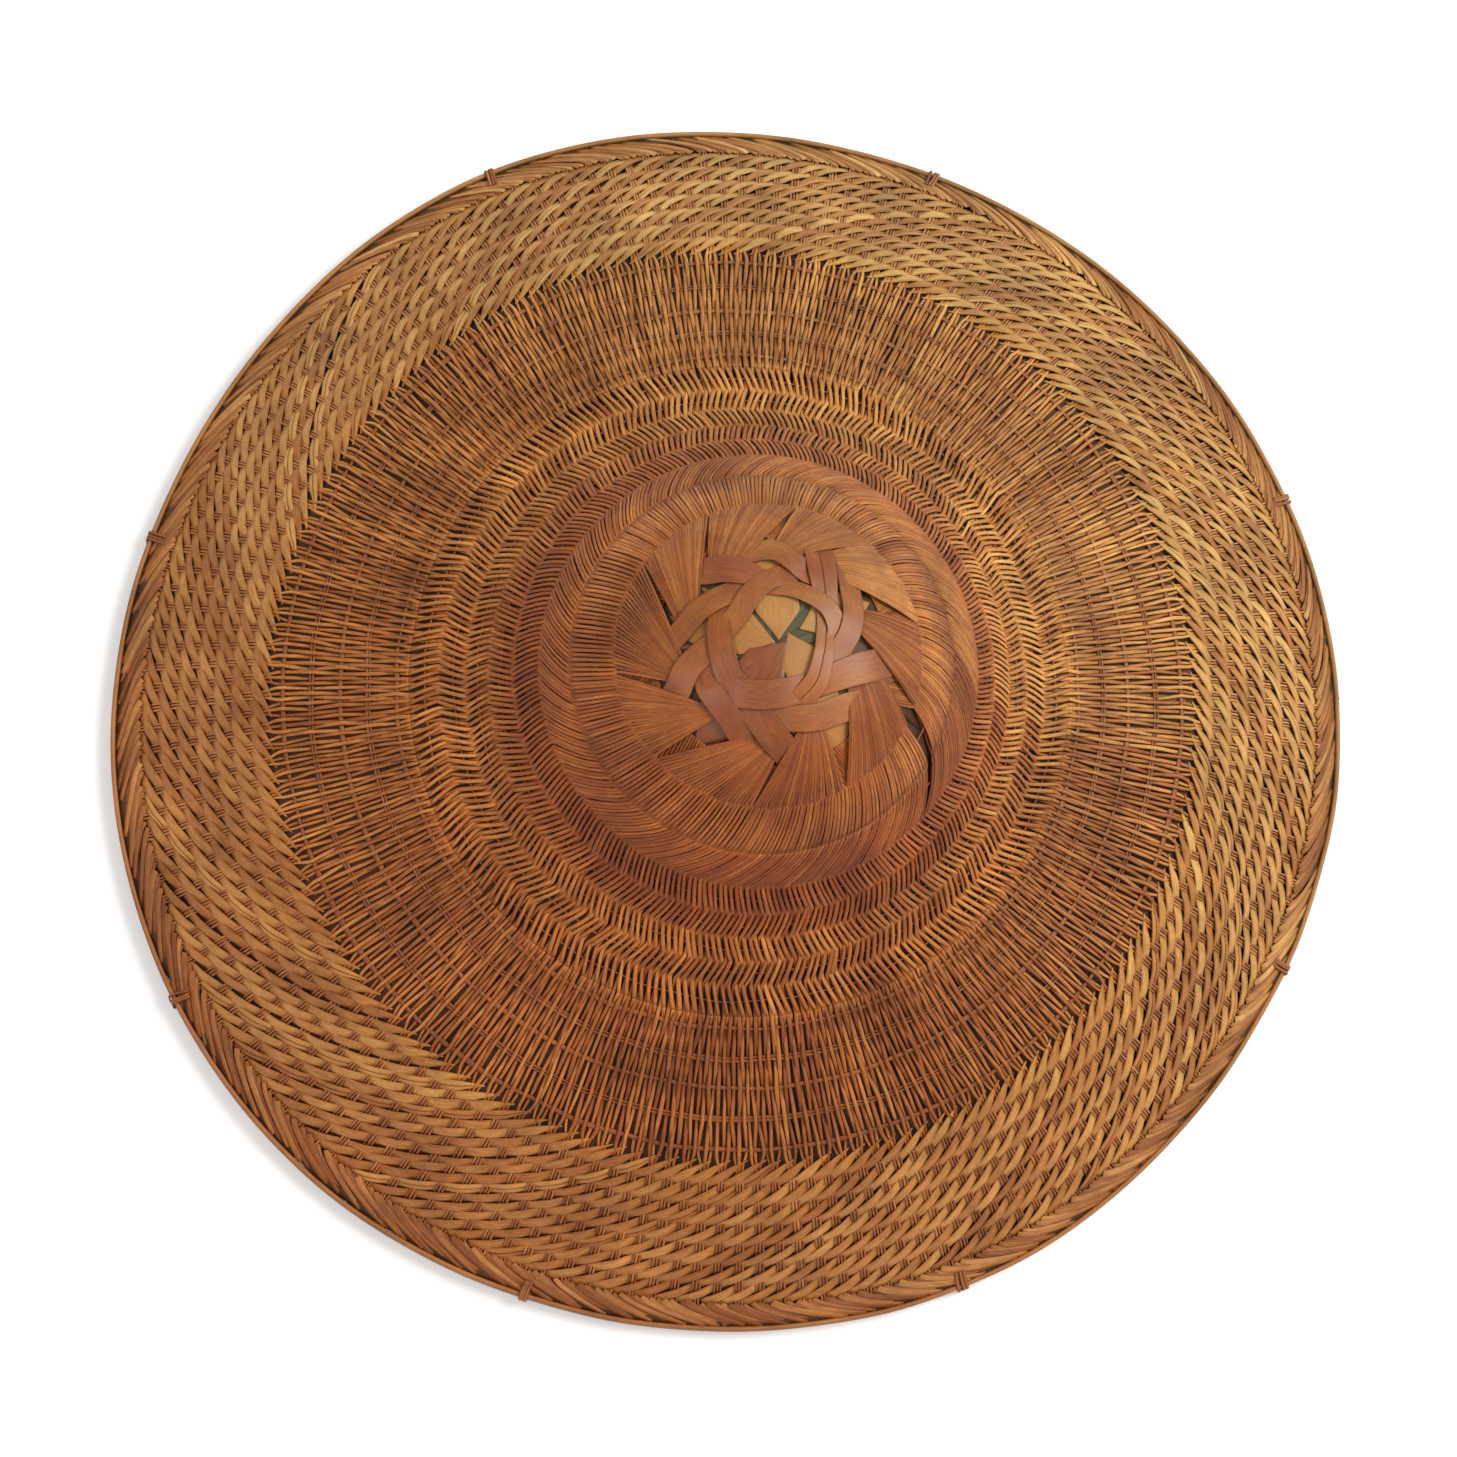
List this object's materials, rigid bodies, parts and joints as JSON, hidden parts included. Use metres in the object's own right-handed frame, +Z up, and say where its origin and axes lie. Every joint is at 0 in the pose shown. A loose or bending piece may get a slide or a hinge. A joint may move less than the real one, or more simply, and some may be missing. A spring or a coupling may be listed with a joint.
{
  "type": "conical woven hat",
  "caption": "Wide conical sun hat woven from split rattan and bamboo, with a plaited domed crown, a flared brim, a braided edge and lashed rim hoops over a leaf lining.",
  "frame": {"origin": "on the hat's axis, in the plane that the rim hoop rests on", "axes": "+Z up along the axis to the crown; +X and +Y in the rim's plane"},
  "size_m": [0.5, 0.5, 0.1546],
  "materials": {
    "crown_splint": "smooth reddish brown bamboo skin, satin",
    "gusset_splint": "pale ochre inner side of split bamboo, matt",
    "strand": "fine split rattan strands, reddish brown, satin",
    "weft_ring": "thin round cane, light brown, satin",
    "brim_weft": "flat golden tan rattan splints, satin",
    "brim_stake": "fine split rattan strands in groups of three",
    "edge_braid": "braided rattan ends, golden to reddish brown",
    "leaf_lining": "dried palm leaf, dark greenish grey, matt",
    "frame_bamboo": "plain split bamboo, matt",
    "hoop": "split cane hoop, light tan, satin",
    "lashing": "thin cane binding, reddish tan",
    "head_ring": "bent bamboo strip, satin"
  },
  "bodies": {
    "root": {"brim_stakes": "brim_stake", "brim_wefts": "brim_weft", "clockwise_strands": "strand", "counterclockwise_strands": "strand", "crown_gusset_1": "gusset_splint", "crown_gusset_2": "gusset_splint", "crown_gusset_3": "gusset_splint", "crown_gusset_4": "gusset_splint", "crown_gusset_5": "gusset_splint", "crown_inner_splint_1": "crown_splint", "crown_inner_splint_2": "crown_splint", "crown_inner_splint_3": "crown_splint", "crown_inner_splint_4": "crown_splint", "crown_inner_splint_5": "crown_splint", "crown_outer_splint_1": "crown_splint", "crown_outer_splint_2": "crown_splint", "crown_outer_splint_3": "crown_splint", "crown_outer_splint_4": "crown_splint", "crown_outer_splint_5": "crown_splint", "edge_braid": "edge_braid", "frame_rib_1": "frame_bamboo", "frame_rib_2": "frame_bamboo", "frame_rib_3": "frame_bamboo", "frame_rib_4": "frame_bamboo", "frame_rib_5": "frame_bamboo", "frame_rib_6": "frame_bamboo", "frame_rib_7": "frame_bamboo", "frame_rib_8": "frame_bamboo", "frame_ring_1": "frame_bamboo", "frame_ring_2": "frame_bamboo", "frame_ring_3": "frame_bamboo", "frame_ring_4": "frame_bamboo", "head_ring": "head_ring", "head_ring_ties": "lashing", "hoop_lashings": "lashing", "inner_hoop": "hoop", "leaf_lining": "leaf_lining", "outer_hoop": "hoop", "weft_ring_01": "weft_ring", "weft_ring_02": "weft_ring", "weft_ring_03": "weft_ring", "weft_ring_04": "weft_ring", "weft_ring_05": "weft_ring", "weft_ring_06": "weft_ring", "weft_ring_07": "weft_ring", "weft_ring_08": "weft_ring", "weft_ring_09": "weft_ring", "weft_ring_10": "weft_ring", "weft_ring_11": "weft_ring", "weft_ring_12": "weft_ring"}
  },
  "joints": []
}
